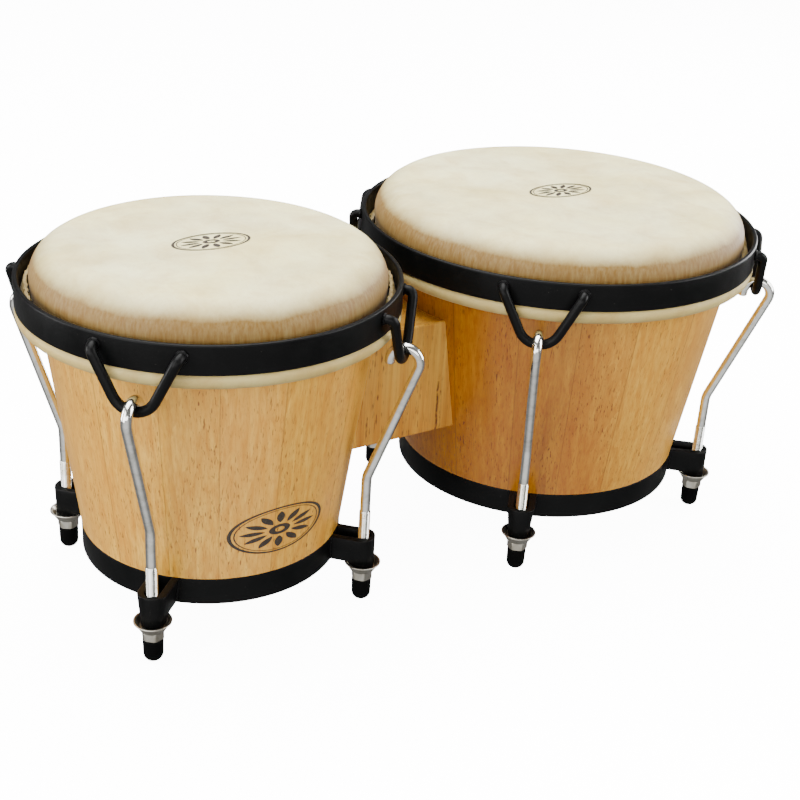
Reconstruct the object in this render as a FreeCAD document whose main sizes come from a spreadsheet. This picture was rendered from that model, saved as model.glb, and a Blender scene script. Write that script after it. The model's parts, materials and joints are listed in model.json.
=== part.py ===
import FreeCAD, Part
import Sketcher
import math
import os

# A pair of bongo drums joined by a wooden block. Every size is in millimetres.
# Frame: +Z up, X through both drum axes (small drum at -X), origin under the middle of the overall
# box, at the level of the rubber tips the drums stand on.

Vector = FreeCAD.Vector
Rotation = FreeCAD.Rotation

doc = FreeCAD.newDocument("Bongos")

# ---------------------------------------------------------------- driving dimensions

SHARED = {
    "axis_spacing": 215.9,
    "ring_low": 23.8,
    "ring_high": 38.5,
    "ring_thick": 2.2,
    "shell_high": 187.1,
    "wall_high": 17.5,
    "wall_low": 10.0,
    "skin_thick": 1.6,
    "edge_round": 14.4,
    "skirt_low": 158.4,
    "hoop_low": 160.3,
    "hoop_high": 174.8,
    "hoop_thick": 2.5,
    "bead_level": 157.1,
    "bead_round": 4.4,
    "wire_round": 2.9,
    "tuck_high": 171.4,
    "rod_round": 2.65,
    "thread_round": 3.0,
    "thread_high": 53.5,
    "rod_low": 3.0,
    "rod_bend_level": 73.0,
    "hook_round": 7.5,
    "hook_level": 140.2,
    "hook_reach": 0.4,
    "ear_round": 2.5,
    "ear_stand": 2.0,
    "ear_top": 169.5,
    "ear_half": 20.3,
    "ear_turn": 11.0,
    "lug_low": 19.8,
    "lug_high": 38.5,
    "lug_half": 6.9,
    "lug_thick": 2.8,
    "cup_round": 9.5,
    "cup_high": 23.0,
    "cup_thick": 2.0,
    "nut_flats": 10.0,
    "nut_thick": 5.0,
    "nut_play": 0.05,
    "tip_round": 5.2,
    "tip_high": 12.6,
    "block_half": 28.0,
    "block_low": 71.0,
    "block_high": 136.0,
    "bolt_low": 87.0,
    "bolt_high": 120.0,
    "bolt_round": 4.0,
    "bolt_depth": 20.0,
}

DRUMS = {
    "small": {
        "hoop_radius": 94.5,
        "shell_low_radius": 67.8,
        "shell_high_radius": 87.4,
        "rod_radius": 83.4,
        "turn": 44.6,
    },
    "large": {
        "hoop_radius": 111.4,
        "shell_low_radius": 82.2,
        "shell_high_radius": 105.0,
        "rod_radius": 98.2,
        "turn": 48.4,
    },
}

sheet = doc.addObject("Spreadsheet::Sheet", "Dims")
row = 0


class Dim:
    """A sheet value or a sum of sheet values: the number, and the expression that gives it."""

    def __init__(self, number, text):
        self.number = number
        self.text = text

    def joined(self, other, sign, turned=False):
        if not isinstance(other, Dim):
            other = Dim(float(other), repr(float(other)))
        first, second = (other, self) if turned else (self, other)
        numbers = {
            "+": lambda: first.number + second.number,
            "-": lambda: first.number - second.number,
            "*": lambda: first.number * second.number,
            "/": lambda: first.number / second.number,
        }
        return Dim(numbers[sign](), f"({first.text} {sign} {second.text})")

    def __add__(self, other):
        return self.joined(other, "+")

    def __radd__(self, other):
        return self.joined(other, "+", True)

    def __sub__(self, other):
        return self.joined(other, "-")

    def __rsub__(self, other):
        return self.joined(other, "-", True)

    def __mul__(self, other):
        return self.joined(other, "*")

    def __rmul__(self, other):
        return self.joined(other, "*", True)

    def __truediv__(self, other):
        return self.joined(other, "/")

    def __neg__(self):
        return self.joined(0.0, "-", True)


def dimension(alias, number):
    """Store one driving dimension in the sheet and return it as a Dim."""
    global row
    row += 1
    sheet.set(f"A{row}", alias)
    sheet.set(f"B{row}", str(number))
    sheet.setAlias(f"B{row}", alias)
    return Dim(number, f"Dims.{alias}")


D = {alias: dimension(alias, number) for alias, number in SHARED.items()}
S = {
    drum: {name: dimension(f"{drum}_{name}", number) for name, number in sizes.items()}
    for drum, sizes in DRUMS.items()
}
doc.recompute()

# The overall box runs from the small hoop to the large hoop, so the axes are offset by half the
# difference of the hoop radii to put the origin in its middle.
shift = (S["large"]["hoop_radius"] - S["small"]["hoop_radius"]) / 2
AXIS_X = {
    "small": -(D["axis_spacing"] / 2) - shift,
    "large": D["axis_spacing"] / 2 - shift,
}

# ---------------------------------------------------------------- building helpers


def bind(target, prop, value):
    """Bind a property to a Dim, or set it to a plain number."""
    if isinstance(value, Dim):
        target.setExpression(prop, value.text)
    else:
        target.setExpression(prop, repr(float(value)))


def new_body(label, x=None, turn=None):
    """A body whose own axis stands at x, turned about Z."""
    body = doc.addObject("PartDesign::Body", label)
    body.Label = label
    if x is not None:
        bind(body, "Placement.Base.x", x)
    if turn is not None:
        bind(body, "Placement.Rotation.Angle", turn)
    return body


def plane(body, role):
    return [item for item in body.Origin.OriginFeatures if item.Role == role][0]


def new_sketch(body, name, role, lift=None):
    sketch = body.newObject("Sketcher::SketchObject", name)
    sketch.AttachmentSupport = (plane(body, role), [""])
    sketch.MapMode = "FlatFace"
    if lift is not None:
        bind(sketch, "AttachmentOffset.Base.z", lift)
    return sketch


def pin_point(sketch, geometry, end, point):
    """Tie one end of a sketch line to a point measured from the sketch's origin."""
    for kind, value in zip(("DistanceX", "DistanceY"), point):
        number = value.number if isinstance(value, Dim) else float(value)
        index = sketch.addConstraint(Sketcher.Constraint(kind, -1, 1, geometry, end, number))
        if isinstance(value, Dim):
            sketch.setExpression(f"Constraints[{index}]", value.text)


def flat_vector(point):
    numbers = [value.number if isinstance(value, Dim) else float(value) for value in point]
    return Vector(numbers[0], numbers[1], 0)


def outline(sketch, points):
    """A closed outline of straight edges through the given points."""
    first = sketch.GeometryCount
    count = len(points)
    for i, point in enumerate(points):
        following = points[(i + 1) % count]
        sketch.addGeometry(Part.LineSegment(flat_vector(point), flat_vector(following)), False)
    for i in range(count):
        joint = Sketcher.Constraint("Coincident", first + i, 2, first + (i + 1) % count, 1)
        sketch.addConstraint(joint)
    for i, point in enumerate(points):
        pin_point(sketch, first + i, 1, point)


def ring_circle(sketch, centre, radius):
    """A circle in a sketch, with its centre and radius bound."""
    number = radius.number if isinstance(radius, Dim) else radius
    index = sketch.addGeometry(Part.Circle(flat_vector(centre), Vector(0, 0, 1), number), False)
    pin_point(sketch, index, 3, centre)
    size = sketch.addConstraint(Sketcher.Constraint("Radius", index, number))
    if isinstance(radius, Dim):
        sketch.setExpression(f"Constraints[{size}]", radius.text)


def turned(body, name, points):
    """Turn a closed outline of (radius, level) points about the body's own Z axis."""
    sketch = new_sketch(body, f"{name}Section", "XZ_Plane")
    outline(sketch, points)
    return revolve(body, name, sketch, "PartDesign::Revolution")


def revolve(body, name, sketch, kind):
    feature = body.newObject(kind, name)
    feature.Profile = sketch
    feature.ReferenceAxis = (sketch, ["V_Axis"])
    feature.Angle = 360.0
    return feature


def rounded(body, name, base, radius, picks):
    """Round the circular edges of a turned feature that lie at the given (radius, level) points."""
    doc.recompute()
    names = []
    for number, edge in enumerate(base.Shape.Edges, 1):
        middle = edge.valueAt(edge.FirstParameter)
        spot = (math.hypot(middle.x, middle.y), middle.z)
        wanted = any(math.dist(spot, flat_vector(pick)[:2]) < 0.01 for pick in picks)
        if wanted and edge.Curve.TypeId == "Part::GeomCircle":
            names.append(f"Edge{number}")
    fillet = body.newObject("PartDesign::Fillet", name)
    fillet.Base = (base, names)
    bind(fillet, "Radius", radius)
    return fillet


def primitive(body, kind, name, sizes, place=(0, 0, 0), along=None):
    """An additive or subtractive primitive with bound sizes and place; along turns its Z axis."""
    feature = body.newObject(f"PartDesign::{kind}", name)
    if along is not None:
        feature.Placement = FreeCAD.Placement(Vector(), Rotation(Vector(0, 0, 1), along))
    for prop, value in sizes.items():
        bind(feature, prop, value)
    for axis, value in zip("xyz", place):
        bind(feature, f"Placement.Base.{axis}", value)
    return feature


def four_around(body, name):
    """Repeat everything the body holds so far four times about its own Z axis."""
    pattern = body.newObject("PartDesign::PolarPattern", name)
    pattern.TransformMode = "Whole shape"
    pattern.Axis = (plane(body, "Z_Axis"), [""])
    pattern.Angle = 360.0
    pattern.Occurrences = 4
    body.Tip = pattern
    return pattern


def hexagon(sketch, flats):
    """A closed hexagon about the sketch's origin, with two flats square to its X axis."""
    half = flats / 2
    side = flats / (2 * math.sqrt(3))
    tip = flats / math.sqrt(3)
    outline(sketch, [(half, side), (0, tip), (-half, side), (-half, -side), (0, -tip), (half, -side)])


# ---------------------------------------------------------------- shells and heads


def shell_line(drum, level):
    """Outer radius of the tapered shell at a level."""
    low = S[drum]["shell_low_radius"]
    high = S[drum]["shell_high_radius"]
    return low + (high - low) * (level - D["ring_high"]) / (D["shell_high"] - D["ring_high"])


def bore_line(drum, level):
    """Inner radius of the shell at a level."""
    low = S[drum]["shell_low_radius"] - D["ring_thick"] - D["wall_low"]
    high = S[drum]["shell_high_radius"] - D["wall_high"]
    return low + (high - low) * (level - D["ring_low"]) / (D["shell_high"] - D["ring_low"])


def towards_block(drum):
    return 1 if drum == "small" else -1


SEAT_DEPTH = 1.9
SEAT_ROUND = 12.5
BOLT_PLAY = 0.2
TOOL_RUN = 40.0


def bolt_levels():
    return (("Low", D["bolt_low"]), ("High", D["bolt_high"]))


def seat_line(drum, level):
    """Distance from the drum's axis to the flat seat cut inside the shell for a bolt's washer."""
    return bore_line(drum, level) + SEAT_DEPTH


def build_shell(drum):
    body = new_body(f"{drum}_shell", AXIS_X[drum])
    rebate = S[drum]["shell_low_radius"] - D["ring_thick"]
    low = S[drum]["shell_low_radius"]
    high = S[drum]["shell_high_radius"]
    bore_high = high - D["wall_high"]
    wall = turned(body, "Wall", [
        (rebate, D["ring_low"]),
        (rebate, D["ring_high"]),
        (low, D["ring_high"]),
        (high, D["shell_high"]),
        (bore_high, D["shell_high"]),
        (rebate - D["wall_low"], D["ring_low"]),
    ])
    edge = rounded(body, "BearingEdge", wall, D["edge_round"], [(high, D["shell_high"])])
    rounded(body, "InnerEdge", edge, 2.0, [(bore_high, D["shell_high"])])
    side = towards_block(drum)
    along = Vector(side, 0, 0)
    for name, level in bolt_levels():
        seat = seat_line(drum, level)
        primitive(
            body, "SubtractiveCylinder", f"Seat{name}",
            {"Radius": SEAT_ROUND, "Height": TOOL_RUN}, (side * (seat - TOOL_RUN), 0, level), along,
        )
        primitive(
            body, "SubtractiveCylinder", f"BoltHole{name}",
            {"Radius": D["bolt_round"] + BOLT_PLAY, "Height": TOOL_RUN}, (side * seat, 0, level), along,
        )
    return body


def build_head(drum):
    """The membrane and the skirt that leaves the bearing edge towards the flesh ring."""
    body = new_body(f"{drum}_head", AXIS_X[drum])
    high = S[drum]["shell_high_radius"]
    leave = D["shell_high"] - D["edge_round"] - D["skin_thick"]
    skirt = bead_centre(drum) - D["bead_round"] - BODY_GAP
    thick = D["skin_thick"]
    cap = turned(body, "Cap", [
        (0, D["shell_high"]),
        (high, D["shell_high"]),
        (shell_line(drum, leave), leave),
        (skirt - thick, D["skirt_low"]),
        (skirt, D["skirt_low"]),
        (shell_line(drum, leave) + thick, leave),
        (high + thick, D["shell_high"] + thick),
        (0, D["shell_high"] + thick),
    ])
    crown = rounded(
        body, "Crown", cap, D["edge_round"] + thick, [(high + thick, D["shell_high"] + thick)]
    )
    rounded(body, "UnderCrown", crown, D["edge_round"], [(high, D["shell_high"])])
    return body


# ---------------------------------------------------------------- bottom ring, lugs, washers, nuts, tips


def build_bottom_ring(drum):
    body = new_body(f"{drum}_bottom_ring", AXIS_X[drum])
    outer = S[drum]["shell_low_radius"]
    inner = outer - D["ring_thick"]
    band = turned(body, "Band", [
        (inner, D["ring_low"]),
        (outer, D["ring_low"]),
        (outer, D["ring_high"]),
        (inner, D["ring_high"]),
    ])
    rounded(body, "SoftEdges", band, 0.5, [(outer, D["ring_low"]), (outer, D["ring_high"])])
    return body


def build_lugs(drum):
    """Four strips bent round the rods into a U and welded to the bottom ring.

    The bend reaches down into the cup washer, and the arms stay level with the ring, clear of its rim.
    """
    body = new_body(f"{drum}_lugs", AXIS_X[drum], S[drum]["turn"])
    rod = S[drum]["rod_radius"]
    ring = S[drum]["shell_low_radius"]
    outer = D["lug_half"]
    inner = D["lug_half"] - D["lug_thick"]
    height = D["lug_high"] - D["lug_low"]
    root = ring - 4
    primitive(
        body, "AdditiveBox", "Arms",
        {"Length": rod - root, "Width": outer * 2, "Height": D["lug_high"] - D["ring_low"]},
        (root, -outer, D["ring_low"]),
    )
    primitive(
        body, "AdditiveCylinder", "Bend", {"Radius": outer, "Height": height}, (rod, 0, D["lug_low"]),
    )
    primitive(
        body, "SubtractiveBox", "Slot",
        {"Length": rod - root, "Width": inner * 2, "Height": height}, (root, -inner, D["lug_low"]),
    )
    primitive(
        body, "SubtractiveCylinder", "Eye", {"Radius": inner, "Height": height}, (rod, 0, D["lug_low"]),
    )
    primitive(
        body, "SubtractiveCylinder", "RingFit", {"Radius": ring, "Height": height}, (0, 0, D["lug_low"]),
    )
    four_around(body, "Around")
    return body


def nut_high():
    return D["lug_low"] - D["cup_thick"]


def nut_low():
    return nut_high() - D["nut_thick"]


CUP_NECK = 6.2
CUP_PLAY = 0.1
CUP_LIP = 0.9


def build_cup_washers(drum):
    """Four cup washers: dished cones that hold the bottom of each lug, with a rim standing up round it."""
    body = new_body(f"{drum}_cup_washers", AXIS_X[drum], S[drum]["turn"])
    rod = S[drum]["rod_radius"]
    primitive(
        body, "AdditiveCone", "Cup",
        {"Radius1": CUP_NECK, "Radius2": D["cup_round"], "Height": D["cup_high"] - nut_high()},
        (rod, 0, nut_high()),
    )
    primitive(
        body, "SubtractiveCone", "Dish",
        {
            "Radius1": D["lug_half"] + CUP_PLAY,
            "Radius2": D["cup_round"] - CUP_LIP,
            "Height": D["cup_high"] - D["lug_low"],
        },
        (rod, 0, D["lug_low"]),
    )
    primitive(
        body, "SubtractiveCylinder", "Hole",
        {"Radius": D["thread_round"] + 0.4, "Height": TOOL_RUN / 4}, (rod, 0, nut_high()),
    )
    four_around(body, "Around")
    return body


def build_nut(drum, index):
    """One tuning nut on its own axis, with both ends chamfered."""
    body = new_body(f"{drum}_nut_{index + 1}")
    rod = S[drum]["rod_radius"]
    angle = S[drum]["turn"] + 90 * index
    body.setExpression("Placement.Base.x", f"{AXIS_X[drum].text} + {rod.text} * cos({angle.text} * 1 deg)")
    body.setExpression("Placement.Base.y", f"{rod.text} * sin({angle.text} * 1 deg)")
    bind(body, "Placement.Rotation.Angle", angle)
    sketch = new_sketch(body, "Hexagon", "XY_Plane", nut_low())
    hexagon(sketch, D["nut_flats"])
    pad = body.newObject("PartDesign::Pad", "Prism")
    pad.Profile = sketch
    bind(pad, "Length", D["nut_thick"])
    flats = D["nut_flats"] / 2
    corner = D["nut_flats"] / math.sqrt(3)
    drop = 0.6
    bevels = new_sketch(body, "Bevels", "XZ_Plane")
    for end, inward in ((nut_low(), 1), (nut_high(), -1)):
        outline(bevels, [
            (flats, end - inward * 0.5),
            (corner + 1, end - inward * 0.5),
            (corner + 1, end + inward * (drop + 0.5)),
            (flats, end),
        ])
    revolve(body, "BevelCut", bevels, "PartDesign::Groove")
    primitive(
        body, "SubtractiveCylinder", "Bore",
        {"Radius": D["thread_round"] + D["nut_play"], "Height": D["nut_thick"]}, (0, 0, nut_low()),
    )
    return body


NOSE_ROUND = 4.2


def build_tips(drum):
    """Four blind rubber caps pushed on the rod ends, flat where they stand."""
    body = new_body(f"{drum}_rubber_tips", AXIS_X[drum], S[drum]["turn"])
    rod = S[drum]["rod_radius"]
    cap = primitive(
        body, "AdditiveCylinder", "Cap", {"Radius": D["tip_round"], "Height": D["tip_high"]}, (rod, 0, 0),
    )
    doc.recompute()
    foot = [
        f"Edge{number}" for number, edge in enumerate(cap.Shape.Edges, 1)
        if edge.BoundBox.ZMax < 0.01
    ]
    fillet = body.newObject("PartDesign::Fillet", "Nose")
    fillet.Base = (cap, foot)
    fillet.Radius = NOSE_ROUND
    primitive(
        body, "SubtractiveCylinder", "Socket",
        {"Radius": D["thread_round"], "Height": D["tip_high"]}, (rod, 0, D["rod_low"]),
    )
    four_around(body, "Around")
    return body


# ---------------------------------------------------------------- hoop, flesh ring, collar

BODY_GAP = 0.35


def bead_centre(drum):
    """Radius of the flesh ring's centre line: its wrapping is flush with the hoop's outside."""
    return S[drum]["hoop_radius"] - D["bead_round"]


def build_hoop(drum):
    body = new_body(f"{drum}_hoop", AXIS_X[drum])
    outer = S[drum]["hoop_radius"]
    inner = outer - D["hoop_thick"]
    band = turned(body, "Band", [
        (inner, D["hoop_low"]),
        (outer, D["hoop_low"]),
        (outer, D["hoop_high"]),
        (inner, D["hoop_high"]),
    ])
    rounded(body, "SoftEdges", band, 0.8, [(outer, D["hoop_high"]), (inner, D["hoop_high"])])
    return body


def build_flesh_ring(drum):
    body = new_body(f"{drum}_flesh_ring", AXIS_X[drum])
    sketch = new_sketch(body, "Section", "XZ_Plane")
    ring_circle(sketch, (bead_centre(drum), D["bead_level"]), D["wire_round"])
    revolve(body, "Wire", sketch, "PartDesign::Revolution")
    return body


def build_collar(drum):
    """The hide wrapped round the flesh ring, with its edge tucked up inside the hoop."""
    body = new_body(f"{drum}_skin_collar", AXIS_X[drum])
    bead = new_sketch(body, "BeadSection", "XZ_Plane")
    ring_circle(bead, (bead_centre(drum), D["bead_level"]), D["bead_round"])
    revolve(body, "Bead", bead, "PartDesign::Revolution")
    inside = S[drum]["hoop_radius"] - D["hoop_thick"]
    turned(body, "Tuck", [
        (inside - D["skin_thick"], D["bead_level"] + D["wire_round"]),
        (inside, D["bead_level"] + D["wire_round"]),
        (inside, D["tuck_high"]),
        (inside - D["skin_thick"], D["tuck_high"]),
    ])
    core = new_sketch(body, "CoreSection", "XZ_Plane")
    ring_circle(core, (bead_centre(drum), D["bead_level"]), D["wire_round"])
    revolve(body, "Core", core, "PartDesign::Groove")
    seat = new_sketch(body, "SeatSection", "XZ_Plane")
    outline(seat, [
        (inside, D["hoop_low"]),
        (S[drum]["hoop_radius"] + 2, D["hoop_low"]),
        (S[drum]["hoop_radius"] + 2, D["hoop_high"]),
        (inside, D["hoop_high"]),
    ])
    revolve(body, "HoopSeat", seat, "PartDesign::Groove")
    return body


# ---------------------------------------------------------------- ears and tension rods


HOOK_PLAY = 0.08


def ear_line(drum):
    """Distance from the drum's axis to the ears' bars."""
    return S[drum]["hoop_radius"] + D["ear_round"] + D["ear_stand"]


def ear_low():
    """Level of the ear's bar where the hook bears on it, a little off the hook's middle."""
    play = D["hook_round"] - D["rod_round"] - D["ear_round"] - HOOK_PLAY
    rise = math.sqrt(play.number ** 2 - D["hook_reach"].number ** 2)
    number = D["hook_level"].number + rise
    return Dim(number, f"{D['hook_level'].text} + sqrt({play.text} ^ 2 - {D['hook_reach'].text} ^ 2)")


def hook_line(drum):
    """Distance from the drum's axis to the middle of the hooks."""
    return ear_line(drum) + D["hook_reach"]


def pipe(body, name, spine, section):
    feature = body.newObject("PartDesign::AdditivePipe", name)
    feature.Profile = section
    feature.Spine = (spine, [f"Edge{i + 1}" for i in range(spine.GeometryCount)])
    feature.Mode = "Frenet"
    return feature


def build_ears(drum):
    """Four round bars bent into rounded V loops, their ends turned in and welded to the hoop."""
    body = new_body(f"{drum}_ears", AXIS_X[drum], S[drum]["turn"])
    line = ear_line(drum)
    low = ear_low()
    half = D["ear_half"]
    turn = D["ear_turn"]
    centre = low + turn
    # the legs leave the bottom bend along tangents from their upper ends
    reach = math.hypot(half.number, D["ear_top"].number - centre.number)
    tilt = math.atan2(D["ear_top"].number - centre.number, half.number)
    swing = tilt - math.acos(turn.number / reach)
    touch = Vector(turn.number * math.cos(swing), centre.number + turn.number * math.sin(swing), 0)
    spine = new_sketch(body, "Loop", "YZ_Plane", line)
    top = D["ear_top"].number
    middle = Vector(0, centre.number, 0)
    mirror = Vector(-touch.x, touch.y, 0)
    spine.addGeometry(Part.LineSegment(Vector(-half.number, top, 0), mirror), False)
    circle = Part.Circle(middle, Vector(0, 0, 1), turn.number)
    spine.addGeometry(Part.ArcOfCircle(circle, math.pi - swing, 2 * math.pi + swing), False)
    spine.addGeometry(Part.LineSegment(touch, Vector(half.number, top, 0)), False)
    spine.addConstraint(Sketcher.Constraint("Tangent", 0, 2, 1, 1))
    spine.addConstraint(Sketcher.Constraint("Tangent", 1, 2, 2, 1))
    pin_point(spine, 0, 1, (-half, D["ear_top"]))
    pin_point(spine, 2, 2, (half, D["ear_top"]))
    pin_point(spine, 1, 3, (0, centre))
    size = spine.addConstraint(Sketcher.Constraint("Radius", 1, turn.number))
    spine.setExpression(f"Constraints[{size}]", turn.text)
    section = body.newObject("Sketcher::SketchObject", "Bar")
    section.AttachmentSupport = (spine, ["Edge1"])
    section.MapMode = "NormalToEdge"
    ring_circle(section, (0, 0), D["ear_round"])
    pipe(body, "Loops", spine, section)
    for name, side in (("Left", -1), ("Right", 1)):
        primitive(
            body, "AdditiveSphere", f"Elbow{name}", {"Radius": D["ear_round"]},
            (line, side * half, D["ear_top"]),
        )
        primitive(
            body, "AdditiveCylinder", f"Stub{name}",
            {"Radius": D["ear_round"], "Height": D["ear_round"] * 3},
            (line, side * half, D["ear_top"]), Vector(-1, 0, 0),
        )
    primitive(
        body, "SubtractiveCylinder", "HoopFit",
        {"Radius": S[drum]["hoop_radius"], "Height": TOOL_RUN}, (0, 0, D["hoop_low"] - 10),
    )
    four_around(body, "Around")
    return body


BEND_ROUND = 14.0
HOOK_TAIL = 1.0


def build_rods(drum):
    """Four plated rods: threaded foot, outward bend, and a hook over the ear."""
    body = new_body(f"{drum}_tension_rods", AXIS_X[drum], S[drum]["turn"])
    foot = S[drum]["rod_radius"]
    hook = D["hook_round"]
    centre = Vector(hook_line(drum).number, D["hook_level"].number, 0)
    bend = Vector(foot.number, D["rod_bend_level"].number, 0)
    # the slanting run leaves the bend point and is tangent to the outside of the hook
    away = centre - bend
    slope = math.atan2(away.y, away.x)
    lead = math.asin(hook.number / away.Length)
    run = slope - lead
    touch_angle = run - math.pi / 2
    touch = centre + Vector(math.cos(touch_angle), math.sin(touch_angle), 0) * hook.number
    trim = BEND_ROUND * math.tan((math.pi / 2 - run) / 2)
    low_touch = bend - Vector(0, trim, 0)
    high_touch = bend + Vector(math.cos(run), math.sin(run), 0) * trim
    bend_centre = low_touch + Vector(BEND_ROUND, 0, 0)
    spine = new_sketch(body, "RodLine", "XZ_Plane")
    start = Vector(foot.number, D["rod_low"].number, 0)
    spine.addGeometry(Part.LineSegment(start, low_touch), False)
    bend_circle = Part.Circle(bend_centre, Vector(0, 0, 1), BEND_ROUND)
    spine.addGeometry(Part.ArcOfCircle(bend_circle, math.pi / 2 + run, math.pi), False)
    spine.addGeometry(Part.LineSegment(high_touch, touch), False)
    hook_circle = Part.Circle(centre, Vector(0, 0, 1), hook.number)
    spine.addGeometry(Part.ArcOfCircle(hook_circle, touch_angle, math.pi), False)
    end = centre - Vector(hook.number, 0, 0)
    spine.addGeometry(Part.LineSegment(end, end - Vector(0, HOOK_TAIL, 0)), False)
    spine.addConstraint(Sketcher.Constraint("Vertical", 0))
    spine.addConstraint(Sketcher.Constraint("Tangent", 0, 2, 1, 2))
    spine.addConstraint(Sketcher.Constraint("Tangent", 1, 1, 2, 1))
    spine.addConstraint(Sketcher.Constraint("Tangent", 2, 2, 3, 1))
    spine.addConstraint(Sketcher.Constraint("Tangent", 3, 2, 4, 1))
    spine.addConstraint(Sketcher.Constraint("Vertical", 4))
    spine.addConstraint(Sketcher.Constraint("Radius", 1, BEND_ROUND))
    size = spine.addConstraint(Sketcher.Constraint("Radius", 3, hook.number))
    spine.setExpression(f"Constraints[{size}]", hook.text)
    spine.addConstraint(Sketcher.Constraint("DistanceY", 4, 2, 4, 1, HOOK_TAIL))
    pin_point(spine, 0, 1, (foot, D["rod_low"]))
    pin_point(spine, 3, 3, (hook_line(drum), D["hook_level"]))
    level = spine.addConstraint(Sketcher.Constraint("DistanceY", -1, 1, 0, 2, low_touch.y))
    spine.setExpression(f"Constraints[{level}]", (D["rod_bend_level"] - trim).text)
    section = new_sketch(body, "Bar", "XY_Plane", D["rod_low"])
    ring_circle(section, (foot, 0), D["rod_round"])
    pipe(body, "Rods", spine, section)
    primitive(
        body, "AdditiveCylinder", "Thread",
        {"Radius": D["thread_round"], "Height": D["thread_high"] - D["rod_low"]}, (foot, 0, D["rod_low"]),
    )
    four_around(body, "Around")
    return body


# ---------------------------------------------------------------- block and its bolts


def build_block():
    """The solid block between the shells, hollowed at both ends to fit them."""
    body = new_body("block")
    half = D["block_half"]
    span = AXIS_X["large"] - AXIS_X["small"]
    bar = primitive(
        body, "AdditiveBox", "Bar",
        {"Length": span, "Width": half * 2, "Height": D["block_high"] - D["block_low"]},
        (AXIS_X["small"], -half, D["block_low"]),
    )
    doc.recompute()
    long_edges = [
        f"Edge{number}" for number, edge in enumerate(bar.Shape.Edges, 1)
        if edge.BoundBox.XLength > 100
    ]
    fillet = body.newObject("PartDesign::Fillet", "SoftEdges")
    fillet.Base = (bar, long_edges)
    fillet.Radius = 1.2
    for drum in DRUMS:
        primitive(
            body, "SubtractiveCone", f"Hollow{drum.title()}",
            {
                "Radius1": S[drum]["shell_low_radius"],
                "Radius2": S[drum]["shell_high_radius"],
                "Height": D["shell_high"] - D["ring_high"],
            },
            (AXIS_X[drum], 0, D["ring_high"]),
        )
        side = towards_block(drum)
        for name, level in bolt_levels():
            length = shell_line(drum, level) + D["bolt_depth"]
            primitive(
                body, "SubtractiveCylinder", f"Bore{drum.title()}{name}",
                {"Radius": D["bolt_round"], "Height": length},
                (AXIS_X[drum], 0, level), Vector(side, 0, 0),
            )
    return body


WASHER_THICK = 1.6
WASHER_ROUND = 11.0
BOLT_HEAD = 5.3
BOLT_CORNER = 7.5


def build_block_washers():
    body = new_body("block_washers")
    for drum in DRUMS:
        side = towards_block(drum)
        for name, level in bolt_levels():
            place = (AXIS_X[drum] + side * (seat_line(drum, level) - WASHER_THICK), 0, level)
            primitive(
                body, "AdditiveCylinder", f"Disc{drum.title()}{name}",
                {"Radius": WASHER_ROUND, "Height": WASHER_THICK}, place, Vector(side, 0, 0),
            )
            primitive(
                body, "SubtractiveCylinder", f"Hole{drum.title()}{name}",
                {"Radius": D["bolt_round"] + BOLT_PLAY, "Height": WASHER_THICK}, place, Vector(side, 0, 0),
            )
    return body


def build_block_bolts():
    body = new_body("block_bolts")
    for drum in DRUMS:
        side = towards_block(drum)
        for name, level in bolt_levels():
            under_head = seat_line(drum, level) - WASHER_THICK
            reach = shell_line(drum, level) + D["bolt_depth"] - under_head
            primitive(
                body, "AdditiveCylinder", f"Shank{drum.title()}{name}",
                {"Radius": D["bolt_round"], "Height": reach},
                (AXIS_X[drum] + side * under_head, 0, level), Vector(side, 0, 0),
            )
            head = primitive(
                body, "AdditivePrism", f"Head{drum.title()}{name}",
                {"Circumradius": BOLT_CORNER, "Height": BOLT_HEAD},
                (AXIS_X[drum] + side * (under_head - BOLT_HEAD), 0, level), Vector(side, 0, 0),
            )
            head.Polygon = 6
    return body


# ---------------------------------------------------------------- the whole object

pieces = []
for drum_name in DRUMS:
    pieces += [
        build_shell(drum_name),
        build_head(drum_name),
        build_bottom_ring(drum_name),
        build_lugs(drum_name),
        build_cup_washers(drum_name),
        build_hoop(drum_name),
        build_flesh_ring(drum_name),
        build_collar(drum_name),
        build_ears(drum_name),
        build_rods(drum_name),
        build_tips(drum_name),
    ]
    pieces += [build_nut(drum_name, index) for index in range(4)]
pieces += [build_block(), build_block_washers(), build_block_bolts()]
doc.recompute()

faults = [item.Name for item in doc.Objects if {"Invalid", "Error"} & set(item.State)]
for piece in pieces:
    if piece.Shape.isNull() or not piece.Shape.isValid():
        faults.append(piece.Label)
if faults:
    raise RuntimeError("failed objects: " + ", ".join(faults))

os.makedirs("parts", exist_ok=True)
for piece in pieces:
    piece.Shape.exportStep(f"parts/{piece.Label}.step")
    box = piece.Shape.BoundBox
    print(f"{piece.Label:24s} solids {len(piece.Shape.Solids)}  volume {piece.Shape.Volume:10.1f}"
          f"  x {box.XMin:8.2f} {box.XMax:8.2f}  y {box.YMin:8.2f} {box.YMax:8.2f}"
          f"  z {box.ZMin:7.2f} {box.ZMax:7.2f}")
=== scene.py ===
import json
import math

import bpy
from mathutils import Matrix, Vector, noise


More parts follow.
